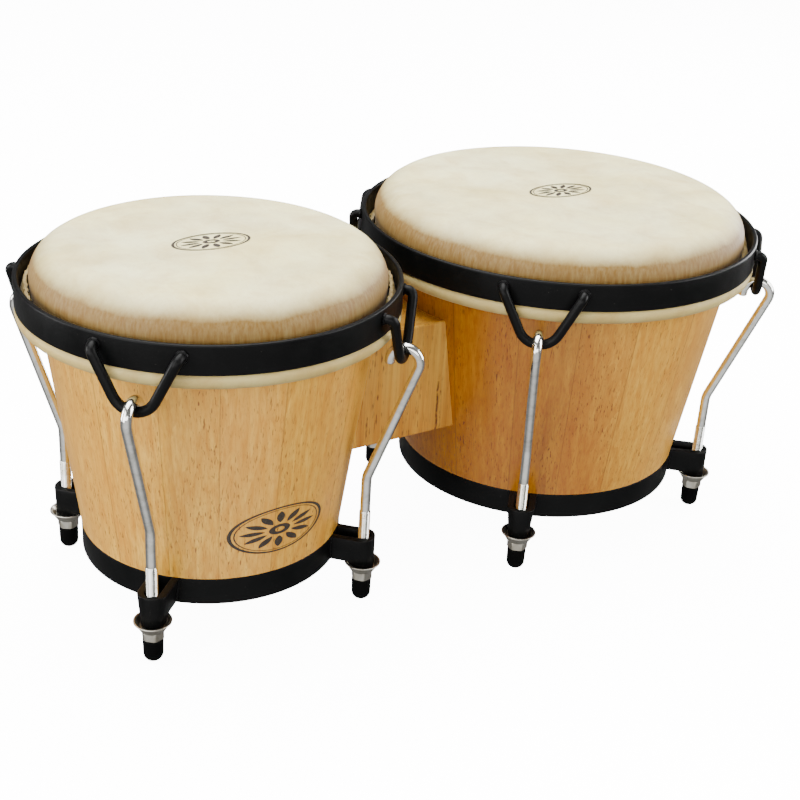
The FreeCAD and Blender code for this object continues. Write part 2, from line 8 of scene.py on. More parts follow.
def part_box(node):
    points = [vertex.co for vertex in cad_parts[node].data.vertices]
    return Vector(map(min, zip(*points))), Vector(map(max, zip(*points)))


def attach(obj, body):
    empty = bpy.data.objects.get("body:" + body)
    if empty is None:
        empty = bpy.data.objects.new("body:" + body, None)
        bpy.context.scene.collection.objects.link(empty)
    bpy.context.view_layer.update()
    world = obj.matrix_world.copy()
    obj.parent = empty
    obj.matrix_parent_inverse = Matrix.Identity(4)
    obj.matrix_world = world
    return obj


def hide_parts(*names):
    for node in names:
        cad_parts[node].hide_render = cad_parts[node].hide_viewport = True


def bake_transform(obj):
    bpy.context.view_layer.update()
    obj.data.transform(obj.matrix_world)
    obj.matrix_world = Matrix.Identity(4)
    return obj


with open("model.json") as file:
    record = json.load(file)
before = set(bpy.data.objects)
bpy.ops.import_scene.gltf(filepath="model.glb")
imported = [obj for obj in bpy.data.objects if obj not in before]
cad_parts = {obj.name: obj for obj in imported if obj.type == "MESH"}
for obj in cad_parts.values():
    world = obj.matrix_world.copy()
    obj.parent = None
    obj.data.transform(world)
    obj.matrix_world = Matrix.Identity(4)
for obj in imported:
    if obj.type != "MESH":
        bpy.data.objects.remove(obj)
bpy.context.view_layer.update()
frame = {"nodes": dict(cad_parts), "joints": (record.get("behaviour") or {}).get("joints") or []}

# A pair of bongo drums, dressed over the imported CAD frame. Lengths are in metres and the frame is
# the CAD's: +Z up, the small drum at -X, the rubber tips standing on the floor at Z = 0.

MM = 0.001
nodes = frame["nodes"]

# ---------------------------------------------------------------- sizes that the solids don't show

SKIN = 1.6 * MM
CROWN_ROUND = 16.0 * MM
WIRE_ROUND = 2.9 * MM
HOOP_THICK = 2.5 * MM
ROD_ROUND = 2.65 * MM
THREAD_ROUND = 3.0 * MM
THREAD_DEPTH = 0.55 * MM
THREAD_PITCH = 1.0 * MM
THREAD_TOP = 53.5 * MM
ROD_BEND = 73.0 * MM
BEND_ROUND = 14.0 * MM
HOOK_LEVEL = 140.2 * MM
HOOK_ROUND = 7.5 * MM
HOOK_REACH = 0.4 * MM
HOOK_PLAY = 0.08 * MM
HOOK_TAIL = 1.0 * MM
EAR_ROUND = 2.5 * MM
EAR_STAND = 2.0 * MM
EAR_HALF = 20.3 * MM
EAR_TOP = 169.5 * MM
EAR_TURN = 11.0 * MM
LUG_HOLE = 3.9 * MM
LUG_REACH = 6.0 * MM
LUG_WIDE_LOW = 5.5 * MM
LUG_WIDE_HIGH = 7.5 * MM
CUP_NECK = 6.2 * MM
CUP_ROUND = 9.5 * MM
NUT_FLATS = 10.0 * MM
TIP_ROUND = 5.2 * MM
SHELL_CORNER = {"small": 87.4 * MM, "large": 105.0 * MM}

DRUMS = ("small", "large")
ROOT = "shells"


class Drum:
    """Places and radii of one drum, read from its solids and joints."""

    def __init__(self, name):
        self.name = name
        self.hoop_set = f"{name}_hoop_set"
        low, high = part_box(f"{name}_hoop")
        self.axis = Vector(((low.x + high.x) / 2, (low.y + high.y) / 2, 0))
        self.hoop_out = (high.x - low.x) / 2
        self.hoop_low, self.hoop_high = low.z, high.z
        low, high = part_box(f"{name}_bottom_ring")
        self.ring_out = (high.x - low.x) / 2
        self.ring_low, self.ring_high = low.z, high.z
        low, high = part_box(f"{name}_flesh_ring")
        self.bead_mid = (high.x - low.x) / 2 - WIRE_ROUND
        self.bead_level = (low.z + high.z) / 2
        low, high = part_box(f"{name}_head")
        self.head_top = high.z
        self.skirt_low = low.z
        self.tuck_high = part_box(f"{name}_skin_collar")[1].z
        self.lug_low, self.lug_high = (corner.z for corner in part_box(f"{name}_lugs"))
        self.cup_low, self.cup_high = (corner.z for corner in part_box(f"{name}_cup_washers"))
        self.nut_low, self.nut_high = (corner.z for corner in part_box(f"{name}_nut_1"))
        self.tip_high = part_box(f"{name}_rubber_tips")[1].z
        self.rod_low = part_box(f"{name}_tension_rods")[0].z
        self.shell_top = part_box(f"{name}_shell")[1].z
        self.corner = SHELL_CORNER[name]
        joints = [joint for joint in frame["joints"] if joint["name"].startswith(f"{name}_nut_")]
        feet = [Vector(joint["pos_m"]) - self.axis for joint in sorted(joints, key=lambda j: j["name"])]
        self.rod_out = math.hypot(feet[0].x, feet[0].y)
        self.angles = [math.atan2(foot.y, foot.x) for foot in feet]

    def shell_line(self, level):
        """Outer radius of the tapered shell at a level."""
        rise = (level - self.ring_high) / (self.shell_top - self.ring_high)
        return self.ring_out + (self.corner - self.ring_out) * rise

    def place(self, angle, points):
        """Points given as (outward, sideways, up) from the drum's axis, turned to an angle."""
        turn = Matrix.Rotation(angle, 4, "Z")
        return [self.axis + turn @ Vector(point) for point in points]


drums = [Drum(name) for name in DRUMS]

# ---------------------------------------------------------------- mesh tools


def make_piece(name, points, faces, sharp=40):
    """A mesh object, smooth apart from edges sharper than the given angle in degrees."""
    mesh = bpy.data.meshes.new(name)
    mesh.from_pydata([tuple(point) for point in points], [], faces)
    mesh.validate()
    mesh.shade_smooth()
    mesh.set_sharp_from_angle(angle=math.radians(sharp))
    piece = bpy.data.objects.new(name, mesh)
    bpy.context.scene.collection.objects.link(piece)
    return piece


def joined(parts):
    """Several (points, faces) shapes as one."""
    points, faces = [], []
    for part_points, part_faces in parts:
        offset = len(points)
        points += part_points
        faces += [tuple(index + offset for index in face) for face in part_faces]
    return points, faces


def finish_piece(piece, material, body, replaces=()):
    """Gives a piece its material and its body (None leaves it on no body, for a piece that spans two), and
    hides the CAD nodes it stands for.
    """
    piece.data.materials.append(material)
    if body:
        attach(piece, body)
    if replaces:
        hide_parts(*replaces)
    return piece


def turn_off(start, corner, end, radius, steps):
    """The arc that rounds a corner between two straight runs, as points from the first run to the second."""
    start, corner, end = Vector(start), Vector(corner), Vector(end)
    back = (start - corner).normalized()
    ahead = (end - corner).normalized()
    half = back.angle(ahead) / 2
    trim = radius / math.tan(half)
    middle = corner + (back + ahead).normalized() * (radius / math.sin(half))
    first = corner + back * trim - middle
    last = corner + ahead * trim - middle
    sweep = first.angle(last)
    return [
        middle + (first * math.sin((1 - part) * sweep) + last * math.sin(part * sweep)) / math.sin(sweep)
        for part in (k / steps for k in range(steps + 1))
    ]


def rounded_loop(corners, radii, steps=4):
    """A closed outline of (out, up) corners, each rounded by its own radius."""
    flat = [Vector((corner[0], 0, corner[1])) for corner in corners]
    count = len(flat)
    loop = []
    for i, (corner, radius) in enumerate(zip(flat, radii)):
        if radius:
            loop += turn_off(flat[i - 1], corner, flat[(i + 1) % count], radius, steps)
        else:
            loop.append(corner)
    return [(point.x, point.z) for point in loop]


def bent_line(corners, radii, steps=10):
    """A line through the corners, rounded at each inner one."""
    line = [Vector(corners[0])]
    for i, radius in enumerate(radii, 1):
        line += turn_off(corners[i - 1], corners[i], corners[i + 1], radius, steps)
    line.append(Vector(corners[-1]))
    return line


def lathe(section, centre, steps, closed=True, shape=None):
    """Turns a section of (out, up) points about a vertical axis.

    shape(out, up, angle, index) may move them.
    """
    points, faces = [], []
    count = len(section)
    for i in range(steps):
        angle = 2 * math.pi * i / steps
        for j, (out, up) in enumerate(section):
            if shape:
                out, up = shape(out, up, angle, j)
            points.append(centre + Vector((out * math.cos(angle), out * math.sin(angle), up)))
    for i in range(steps):
        a, b = i * count, (i + 1) % steps * count
        for j in range(count if closed else count - 1):
            k = (j + 1) % count
            faces.append((a + j, b + j, b + k, a + k))
    return points, faces


def frames_along(line):
    """A pair of cross directions for each point of a line, turned as little as possible on the way."""
    ahead = (line[1] - line[0]).normalized()
    side = ahead.orthogonal().normalized()
    frames = []
    for i in range(len(line)):
        before = line[max(i - 1, 0)]
        after = line[min(i + 1, len(line) - 1)]
        new_ahead = (after - before).normalized()
        side = ahead.rotation_difference(new_ahead) @ side
        ahead = new_ahead
        frames.append((side, ahead.cross(side)))
    return frames


def tube(line, radius, sides=20, nose=0.35):
    """A round bar along a line, its ends a little rounded.

    radius is a number or a function of (index, angle).
    """
    size = radius if callable(radius) else (lambda index, angle: radius)
    frames = frames_along(line)
    rows = [(line[i], frames[i], i, 1.0) for i in range(len(line))]
    first, last = line[0], line[-1]
    start_way = (line[0] - line[1]).normalized() * size(0, 0)
    end_way = (line[-1] - line[-2]).normalized() * size(len(line) - 1, 0)
    nose_steps = ((1.0, 0.5), (0.75, 0.85))
    caps_low = [(first + start_way * nose * lift, frames[0], 0, wide) for lift, wide in nose_steps]
    caps_high = [
        (last + end_way * nose * lift, frames[-1], len(line) - 1, wide) for lift, wide in reversed(nose_steps)
    ]
    rows = caps_low + rows + caps_high
    points, faces = [], []
    for centre, (side, up), index, wide in rows:
        for k in range(sides):
            angle = 2 * math.pi * k / sides
            reach = size(index, angle) * wide
            points.append(centre + (side * math.cos(angle) + up * math.sin(angle)) * reach)
    for i in range(len(rows) - 1):
        for k in range(sides):
            following = (k + 1) % sides
            a, b = i * sides, (i + 1) * sides
            faces.append((a + k, a + following, b + following, b + k))
    for row, way in ((0, -1), (len(rows) - 1, 1)):
        face = [row * sides + k for k in range(sides)]
        faces.append(tuple(face[::way]))
    return points, faces


def around_noise(angle, detail, seed):
    """Smooth noise between about -1 and 1 that closes round the circle."""
    return noise.noise(Vector((math.cos(angle) * detail, math.sin(angle) * detail, seed)))


def smooth_step(value):
    value = min(max(value, 0.0), 1.0)
    return value * value * (3 - 2 * value)


# ---------------------------------------------------------------- material tools


def tint(red, green, blue):
    """A display colour, 0 to 255 a channel, as the linear colour the shader takes."""
    parts = [channel / 255 for channel in (red, green, blue)]
    return tuple(c / 12.92 if c <= 0.04045 else ((c + 0.055) / 1.055) ** 2.4 for c in parts) + (1.0,)


class Shader:
    """One material's node tree, built from small named steps."""

    def __init__(self, name, **surface):
        self.material = bpy.data.materials.new(name)
        self.material.use_nodes = True
        self.tree = self.material.node_tree
        self.surface = self.tree.nodes["Principled BSDF"]
        for socket, value in surface.items():
            self.surface.inputs[socket.replace("_", " ")].default_value = value

    def add(self, kind, inputs, output=0, **settings):
        node = self.tree.nodes.new("ShaderNode" + kind)
        for key, value in settings.items():
            setattr(node, key, value)
        for key, value in inputs.items():
            socket = node.inputs[key]
            if isinstance(value, bpy.types.NodeSocket):
                self.tree.links.new(value, socket)
            else:
                socket.default_value = value
        return node.outputs[output]

    def place(self, stretch=(1, 1, 1), shift=(0, 0, 0)):
        """Object coordinates in metres, moved and then stretched."""
        here = self.add("TexCoord", {}, output="Object")
        moved = self.add("VectorMath", {0: here, 1: shift}, operation="ADD")
        return self.add("VectorMath", {0: moved, 1: stretch}, operation="MULTIPLY")

    def split(self, vector):
        """A node whose outputs X, Y and Z are the vector's."""
        parts = self.tree.nodes.new("ShaderNodeSeparateXYZ")
        self.tree.links.new(vector, parts.inputs[0])
        return parts

    def stretch(self, vector, by):
        return self.add("VectorMath", {0: vector, 1: by}, operation="MULTIPLY")

    def noise(self, vector, scale, detail=3.0, rough=0.5, warp=0.0):
        return self.add("TexNoise", {
            "Vector": vector, "Scale": scale, "Detail": detail, "Roughness": rough, "Distortion": warp})

    def math(self, operation, first, second=0.0, clamp=False):
        return self.add("Math", {0: first, 1: second}, operation=operation, use_clamp=clamp)

    def fit(self, value, low, high, to_low=0.0, to_high=1.0):
        ends = {"Value": value, "From Min": low, "From Max": high, "To Min": to_low, "To Max": to_high}
        return self.add("MapRange", ends, clamp=True)

    def mix(self, amount, first, second, blend="MIX"):
        return self.add("Mix", {0: amount, 6: first, 7: second}, output=2, data_type="RGBA", blend_type=blend)

    def bump(self, height, depth, strength=1.0):
        return self.add("Bump", {"Height": height, "Distance": depth, "Strength": strength})

    def drive(self, **sockets):
        for socket, value in sockets.items():
            self.tree.links.new(value, self.surface.inputs[socket.replace("_", " ")])
        return self.material


# ---------------------------------------------------------------- materials

WOOD_LIGHT = tint(229, 181, 78)
WOOD_MID = tint(207, 149, 49)
WOOD_DARK = tint(168, 102, 24)
WOOD_PORE = tint(92, 48, 16)


def wood(name, middle, staves, seed, shadow_side=None, split=None):
    """Lacquered pale hardwood with upright grain and short dark pores.

    With staves, tone and figure change at each one round the axis.
    shadow_side is the angle where a painted shadow, as the other drum casts it, is darkest; painted shade
    also darkens the shell towards the bottom.
    split is the X where the front face has a few fine drying splits; with it the block is also painted darker
    and more orange towards its bottom, as painted shade.
    """
    shader = Shader(name, Coat_Weight=0.25, Coat_Roughness=0.18, Specular_IOR_Level=0.4)
    here = shader.place(shift=(-middle.x, -middle.y, seed))
    if staves:
        parts = shader.split(here)
        angle = shader.math("ARCTAN2", parts.outputs["Y"], parts.outputs["X"])
        even = shader.math("MULTIPLY_ADD", angle, staves / (2 * math.pi))
        even.node.inputs[2].default_value = seed
        sway = shader.math("MULTIPLY", shader.math("SINE", shader.math("MULTIPLY", angle, 3.0)), 0.22)
        across = shader.math("ADD", even, sway)
        number = shader.math("FLOOR", across)
        chance = shader.add("TexWhiteNoise", {"W": number}, output="Color", noise_dimensions="1D")
        tone = shader.add("TexWhiteNoise", {"W": shader.math("ADD", number, 40.0)}, output="Value",
                          noise_dimensions="1D")
        here = shader.add("VectorMath", {0: chance, 1: (0.9, 0.7, 0.5), 2: here}, operation="MULTIPLY_ADD")
        into = shader.math("FRACT", across)
        edge = shader.math("MINIMUM", into, shader.math("SUBTRACT", 1.0, into))
        seam = shader.fit(edge, 0.0, 0.014, 1.0, 0.0)
    bands = shader.noise(shader.stretch(here, (75, 75, 2.6)), 1.0, 2.0, 0.5, 0.6)
    rings = shader.math("FRACT", shader.math("MULTIPLY", bands, 5.0))
    ring_line = shader.fit(rings, 0.0, 0.95)
    fibre = shader.noise(shader.stretch(here, (1300, 1300, 26)), 1.0, 3.0, 0.65)
    streak = shader.noise(shader.stretch(here, (330, 330, 5)), 1.0, 3.0, 0.6, 0.3)
    pore_field = shader.noise(shader.stretch(here, (1450, 1450, 150)), 1.0, 1.5, 0.5)
    pore_area = shader.noise(shader.stretch(here, (60, 60, 14)), 1.0, 2.0, 0.5)
    pores = shader.math("MULTIPLY", shader.fit(pore_field, 0.61, 0.70),
                        shader.fit(pore_area, 0.36, 0.60, 0.15, 1.0))
    cloud = shader.noise(shader.stretch(here, (24, 24, 6)), 1.0, 2.0, 0.5)
    colour = shader.mix(shader.fit(streak, 0.30, 0.70), WOOD_LIGHT, WOOD_MID)
    colour = shader.mix(shader.math("MULTIPLY", ring_line, 0.30), colour, WOOD_DARK)
    colour = shader.mix(shader.fit(fibre, 0.46, 0.72, 0.0, 0.55), colour, WOOD_DARK)
    colour = shader.mix(shader.fit(cloud, 0.40, 0.72, 0.0, 0.34), colour, tint(190, 124, 42))
    colour = shader.mix(shader.math("MULTIPLY", pores, 0.80), colour, WOOD_PORE)
    if staves:
        shade = shader.add("CombineColor", {
            "Red": shader.fit(tone, 0.0, 1.0, 0.90, 1.05),
            "Green": shader.fit(tone, 0.0, 1.0, 0.86, 1.07),
            "Blue": shader.fit(tone, 0.0, 1.0, 0.74, 1.16),
        })
        colour = shader.mix(1.0, colour, shade, "MULTIPLY")
        colour = shader.mix(shader.math("MULTIPLY", seam, 0.45), colour, WOOD_PORE)
    # Painted shadow on one side of the shell, where the other drum shades it, varied a little stave by stave,
    # and painted shade towards the bottom.
    if shadow_side is not None:
        turned = shader.math("COSINE", shader.math("SUBTRACT", angle, shadow_side))
        low = shader.fit(parts.outputs["Z"], seed + 0.02, seed + 0.15, 0.30, 0.0)
        painted_shade = shader.math("ADD", shader.math("ADD", turned, shader.math("MULTIPLY", tone, 0.20)), low)
        painted_shade = shader.fit(painted_shade, 0.58, 1.12, 0.0, 1.0)
        colour = shader.mix(painted_shade, colour, shader.mix(1.0, colour, (0.56, 0.39, 0.09, 1.0), "MULTIPLY"))
    if split is not None:
        real = shader.split(shader.place())
        sway = shader.noise(shader.stretch(here, (0, 0, 70)), 1.0, 3.0, 0.6)
        off = shader.math("ADD", real.outputs["X"], shader.math("MULTIPLY", sway, 0.004))
        near = shader.math("ABSOLUTE", shader.math("SUBTRACT", off, split + 0.002))
        beside = shader.math("ABSOLUTE", shader.math("SUBTRACT", off, split + 0.0042))
        broken = shader.fit(shader.noise(shader.stretch(here, (0, 0, 240)), 1.0, 2.0, 0.5), 0.30, 0.48)
        crack = shader.math("MULTIPLY", shader.fit(near, 0.0003, 0.0009, 1.0, 0.0), broken)
        second = shader.math("MULTIPLY", shader.fit(beside, 0.0001, 0.0007, 1.0, 0.0),
                             shader.math("SUBTRACT", 1.0, shader.math("MULTIPLY", broken, 0.8)))
        crack = shader.math("MAXIMUM", crack, second)
        crack = shader.math("MULTIPLY", crack, shader.fit(real.outputs["Z"], 0.096, 0.106, 1.0, 0.0))
        crack = shader.math("MULTIPLY", crack, shader.fit(real.outputs["Y"], -0.0278, -0.0262, 1.0, 0.0))
        colour = shader.mix(shader.math("MULTIPLY", crack, 0.85), colour, tint(70, 34, 14))
        # Painted shade: the block darker and more orange towards its bottom.
        low_shade = shader.fit(real.outputs["Z"], 0.072, 0.115, 1.0, 0.0)
        colour = shader.mix(low_shade, colour, shader.mix(1.0, colour, (0.84, 0.70, 0.46, 1.0), "MULTIPLY"))
    height = shader.math("SUBTRACT", shader.math("MULTIPLY", fibre, 0.35), pores)
    rough = shader.fit(shader.math("ADD", pores, shader.math("MULTIPLY", fibre, 0.5)), 0.0, 1.2, 0.30, 0.52)
    return shader.drive(Base_Color=colour, Roughness=rough, Normal=shader.bump(height, 0.00010, 0.5))


def hide(name, warm, shade_start, shade_full, shade_share, shade=(1.0, 1.0, 1.0, 1.0)):
    """Natural rawhide: cream, clouded, with faint fibres and pores.

    warm pushes it towards tan. Between the levels shade_start and shade_full it is painted darker tan, by
    shade_share: mostly painted shade where the hoop keeps light off the hide, partly the hide's own tan.
    """
    shader = Shader(name, Specular_IOR_Level=0.30, Sheen_Weight=0.05, Sheen_Roughness=0.4)
    here = shader.place()
    parts = shader.split(here)
    cloud = shader.noise(here, 16.0, 4.0, 0.6, 0.8)
    patch = shader.noise(here, 48.0, 4.0, 0.62, 0.5)
    fibre = shader.noise(shader.stretch(here, (900, 240, 500)), 1.0, 4.0, 0.7)
    speck = shader.noise(here, 1500.0, 2.0, 0.6)
    pale = tint(246, 242, 190)
    cream = tint(236, 224, 156)
    tan = tint(202, 172, 104)
    colour = shader.mix(shader.fit(cloud, 0.35, 0.68), pale, cream)
    colour = shader.mix(shader.fit(patch, 0.42, 0.74, warm, warm + 0.50), colour, tan)
    colour = shader.mix(shader.fit(fibre, 0.52, 0.80, 0.0, 0.28), colour, tan)
    colour = shader.mix(shader.fit(speck, 0.63, 0.76, 0.0, 0.30), colour, tint(165, 130, 78))
    streak = shader.noise(shader.stretch(here, (700, 700, 60)), 1.0, 3.0, 0.6)
    uneven = shader.math("SUBTRACT", shader.noise(here, 34.0, 4.0, 0.6), 0.5)
    ragged = shader.math("MULTIPLY_ADD", uneven, 0.006)
    shader.tree.links.new(parts.outputs["Z"], ragged.node.inputs[2])
    # Painted shade: darker tan between two levels, on the head's wall and on the tuck inside the hoop, mostly
    # where the hoop keeps light off, partly the hide's own tan.
    stretched = shader.math("MULTIPLY", shader.fit(ragged, shade_start, shade_full, 0.0, shade_share),
                            shader.fit(streak, 0.30, 0.70, 0.94, 1.03))
    colour = shader.mix(stretched, colour, tint(112, 82, 30))
    # On the wrapped edge this multiply darkens and yellows the bead: partly painted shade under the hoop,
    # partly the bead's own colour.
    colour = shader.mix(1.0, colour, shade, "MULTIPLY")
    height = shader.math("ADD", shader.math("MULTIPLY", fibre, 0.6), shader.math("MULTIPLY", patch, 1.2))
    rough = shader.fit(patch, 0.3, 0.8, 0.48, 0.66)
    return shader.drive(Base_Color=colour, Roughness=rough, Normal=shader.bump(height, 0.00022, 0.55))


def black_coat(name):
    """Semi-gloss black powder coat with a fine orange peel, a little dust and rubbed spots."""
    shader = Shader(name, Specular_IOR_Level=0.10)
    here = shader.place()
    peel = shader.noise(here, 900.0, 2.0, 0.5)
    dust = shader.noise(here, 60.0, 5.0, 0.7, 0.6)
    fleck = shader.noise(here, 700.0, 3.0, 0.6)
    colour = shader.mix(shader.fit(dust, 0.45, 0.80, 0.0, 0.5), tint(7, 7, 7), tint(14, 14, 14))
    colour = shader.mix(shader.fit(fleck, 0.70, 0.78, 0.0, 0.4), colour, tint(74, 72, 68))
    rough = shader.fit(dust, 0.3, 0.8, 0.30, 0.50)
    return shader.drive(Base_Color=colour, Roughness=rough, Normal=shader.bump(peel, 0.00006, 0.5))


def plated(name, bright, dull, rough_low, rough_high, lines):
    """Plated steel: drawn or turned lines, cloudy tarnish and tiny pits."""
    shader = Shader(name, Metallic=1.0)
    here = shader.place()
    cloud = shader.noise(here, 130.0, 4.0, 0.6, 0.5)
    drawn = shader.noise(shader.stretch(here, lines), 1.0, 3.0, 0.6)
    pit = shader.noise(here, 1900.0, 2.0, 0.6)
    colour = shader.mix(shader.fit(cloud, 0.42, 0.78), bright, dull)
    colour = shader.mix(shader.fit(pit, 0.68, 0.78, 0.0, 0.45), colour, tint(120, 108, 84))
    blur = shader.math("ADD", shader.math("MULTIPLY", cloud, 0.6), shader.math("MULTIPLY", drawn, 0.4))
    rough = shader.fit(blur, 0.3, 0.75, rough_low, rough_high)
    return shader.drive(Base_Color=colour, Roughness=rough, Normal=shader.bump(drawn, 0.00002, 0.35))


def rubber(name):
    """Matte black rubber with a moulded grain, paler where it meets the floor."""
    shader = Shader(name, Specular_IOR_Level=0.04)
    here = shader.place()
    parts = shader.split(here)
    scuff = shader.math("MULTIPLY", shader.fit(parts.outputs["Z"], 0.0, 0.004, 1.0, 0.0),
                        shader.fit(shader.noise(here, 900.0, 3.0, 0.6), 0.4, 0.7))
    grain = shader.noise(here, 1600.0, 2.0, 0.6)
    colour = shader.mix(scuff, tint(4, 4, 4), tint(34, 33, 31))
    rough = shader.fit(grain, 0.3, 0.7, 0.48, 0.66)
    return shader.drive(Base_Color=colour, Roughness=rough, Normal=shader.bump(grain, 0.00008, 0.5))


def ink(name):
    """Dark printed ink, thin and slightly broken over the surface below."""
    shader = Shader(name, Specular_IOR_Level=0.4)
    worn = shader.noise(shader.place(), 1400.0, 3.0, 0.6)
    colour = shader.mix(shader.fit(worn, 0.45, 0.75), tint(40, 33, 26), tint(72, 62, 50))
    return shader.drive(Base_Color=colour, Roughness=shader.fit(worn, 0.3, 0.7, 0.40, 0.60))


# ---------------------------------------------------------------- head and its wrapped edge

EDGE_ROUND = CROWN_ROUND - SKIN
SKIRT_GAP = 0.35 * MM


def smoothed(start, corner, end, radius, steps):
    """The rounded corner between two runs of an (out, up) outline."""
    flat = [Vector((point[0], 0, point[1])) for point in (start, corner, end)]
    return [(point.x, point.z) for point in turn_off(*flat, radius, steps)]


def run(start, end, steps):
    """Points along a straight run of an outline, without its start."""
    return [
        (start[0] + (end[0] - start[0]) * k / steps, start[1] + (end[1] - start[1]) * k / steps)
        for k in range(1, steps + 1)
    ]


def hide_line(drum, inset, steps):
    """The hide from the middle of the head to the end of the skirt, inset from its outer face."""
    leave = drum.shell_top - EDGE_ROUND - SKIN
    top = drum.head_top - inset
    middle = (0.4 * MM, top)
    corner = (drum.corner + SKIN - inset, drum.head_top - inset)
    knee = (drum.shell_line(leave) + SKIN - inset, leave)
    hem = (drum.bead_mid - WIRE_ROUND - SKIN - SKIRT_GAP + 0.1 * MM - inset, drum.bead_level - 2.0 * MM)
    shoulder = smoothed(middle, corner, knee, CROWN_ROUND - inset, steps)
    bend = smoothed(corner, knee, hem, 25 * MM, 4)
    return (
        [middle] + run(middle, shoulder[0], steps)[:-1] + shoulder + run(shoulder[-1], bend[0], 3)[:-1]
        + bend + run(bend[-1], hem, 8)
    )


def build_head(drum, material):
    outside = hide_line(drum, 0.0, 16)
    inside = hide_line(drum, SKIN, 16)
    section = outside + inside[::-1]
    seed = drum.axis.x * 50
    leave = drum.shell_top - EDGE_ROUND

    def shape(out, up, angle, index):
        slack = smooth_step((leave - up) / (leave - drum.bead_level))
        wave = around_noise(angle, 9, seed) * 0.5 + around_noise(angle, 26, seed + 3) * 0.3
        dish = 0.0
        if up > drum.head_top - 2 * SKIN:
            spot = Vector((out * math.cos(angle), out * math.sin(angle), seed))
            dish = (noise.noise(spot * 22) - 1.4) * 0.11 * MM
        return out + slack * wave * 0.3 * MM, up + dish
    points, faces = lathe(section, drum.axis, 360, closed=False, shape=shape)
    piece = make_piece(f"{drum.name}_hide", points, faces)
    finish_piece(piece, material, None, [f"{drum.name}_head"])
    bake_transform(piece)
    return piece


# the angles, in degrees, where the tucked hide stands up to its full height
TUCK_SHOWS = {"small": (157, -22), "large": (-25, 20)}


def tuck_height(drum, angle):
    """How much of the tuck is left standing at an angle, 0 to 1: it's cut low except at a few places."""
    left = 0.0
    for peak in TUCK_SHOWS[drum.name]:
        off = (angle - math.radians(peak) + math.pi) % (2 * math.pi) - math.pi
        left = max(left, math.exp(-(off / 0.42) ** 2))
    return left


def build_wrap(drum, material):
    """The hide's edge: round the flesh ring, up inside the hoop, and cut off raggedly."""
    half = SKIN / 2 - 0.05 * MM
    mid = WIRE_ROUND + half
    tuck_out = drum.hoop_out - HOOP_THICK - half - 0.1 * MM
    tuck_top = drum.tuck_high
    turns = [math.radians(130 + 290 * k / 34) for k in range(35)]
    path = [(drum.bead_mid + mid * math.cos(t), drum.bead_level + mid * math.sin(t)) for t in turns]
    fold = (tuck_out, drum.hoop_low + 0.2 * MM)
    path += smoothed(path[-1], fold, (tuck_out, tuck_top), 0.9 * MM, 5)
    path += run(path[-1], (tuck_out, tuck_top), 11)
    sides = []
    for i, point in enumerate(path):
        before, after = path[max(i - 1, 0)], path[min(i + 1, len(path) - 1)]
        along = Vector((after[0] - before[0], after[1] - before[1])).normalized()
        sides.append((along.y * half, -along.x * half))
    outer = [(point[0] + side[0], point[1] + side[1]) for point, side in zip(path, sides)]
    inner = [(point[0] - side[0], point[1] - side[1]) for point, side in zip(path, sides)]
    section = outer + inner[::-1]
    seed = drum.axis.x * 70 + 5
    tuck_base = drum.hoop_low + 1.0 * MM
    tall = tuck_top - tuck_base

    def shape(out, up, angle, index):
        if index > len(path) - 13 and index < len(path) + 12 and up > tuck_base:
            part = (up - tuck_base) / tall
            dip = (1 - tuck_height(drum, angle)) * (6.0 + 2.0 * around_noise(angle, 2.2, seed)) * MM
            nick = smooth_step(around_noise(angle, 14, seed + 7) * 2.5 - 0.4) * 2.0 * MM
            fray = around_noise(angle, 34, seed + 1) * 1.0 * MM + around_noise(angle, 95, seed + 2) * 0.6 * MM
            fray -= 0.2 * MM
            lean = (2.7 + 0.7 * around_noise(angle, 5, seed + 4)) * MM
            ripple = around_noise(angle, 30, seed + 6) * 0.9 * MM
            ripple += around_noise(angle, 70, seed + 9) * 0.3 * MM
            up += part * (fray - dip - nick)
            return out - part ** 1.4 * max(lean + ripple, 0.1 * MM), up
        spot = Vector((math.cos(angle) * 40, math.sin(angle) * 40, up * 300 + seed))
        lump = noise.noise(spot) * 0.10 * MM + around_noise(angle, 6, seed + 8) * 0.12 * MM
        return out + lump * 0.6, up + lump
    points, faces = lathe(section, drum.axis, 900, shape=shape)
    piece = make_piece(f"{drum.name}_hide_edge", points, faces, sharp=60)
    return finish_piece(piece, material, drum.hoop_set, [f"{drum.name}_skin_collar"])


# ---------------------------------------------------------------- hoop, ears and rods


def build_hoop(drum, material):
    inner, outer = drum.hoop_out - HOOP_THICK, drum.hoop_out
    corners = [
        (inner, drum.hoop_low),
        (outer, drum.hoop_low),
        (outer, drum.hoop_high),
        (inner, drum.hoop_high),
    ]
    section = rounded_loop(corners, [0.5 * MM, 0.7 * MM, 0.9 * MM, 0.9 * MM], 5)
    seed = drum.axis.x * 31

    def shape(out, up, angle, index):
        return out - abs(around_noise(angle, 2, seed)) * 0.12 * MM, up
    points, faces = lathe(section, drum.axis, 384, shape=shape)
    piece = make_piece(f"{drum.name}_band", points, faces, sharp=50)
    return finish_piece(piece, material, drum.hoop_set, [f"{drum.name}_hoop"])


def ring_of_weld(centre, across, reach, thick, seed):
    """A lumpy weld bead round a bar that points outward."""
    steps = 28
    up = Vector((0, 0, 1))
    line = []
    for k in range(steps + 1):
        angle = 2 * math.pi * k / steps
        wobble = 1 + 0.08 * noise.noise(Vector((k * 0.9, seed, 0)))
        line.append(centre + (across * math.cos(angle) + up * math.sin(angle)) * reach * wobble)

    def size(index, angle):
        return thick * (1 + 0.28 * noise.noise(Vector((index * 0.7, math.cos(angle), seed))))
    return tube(line, size, 8)


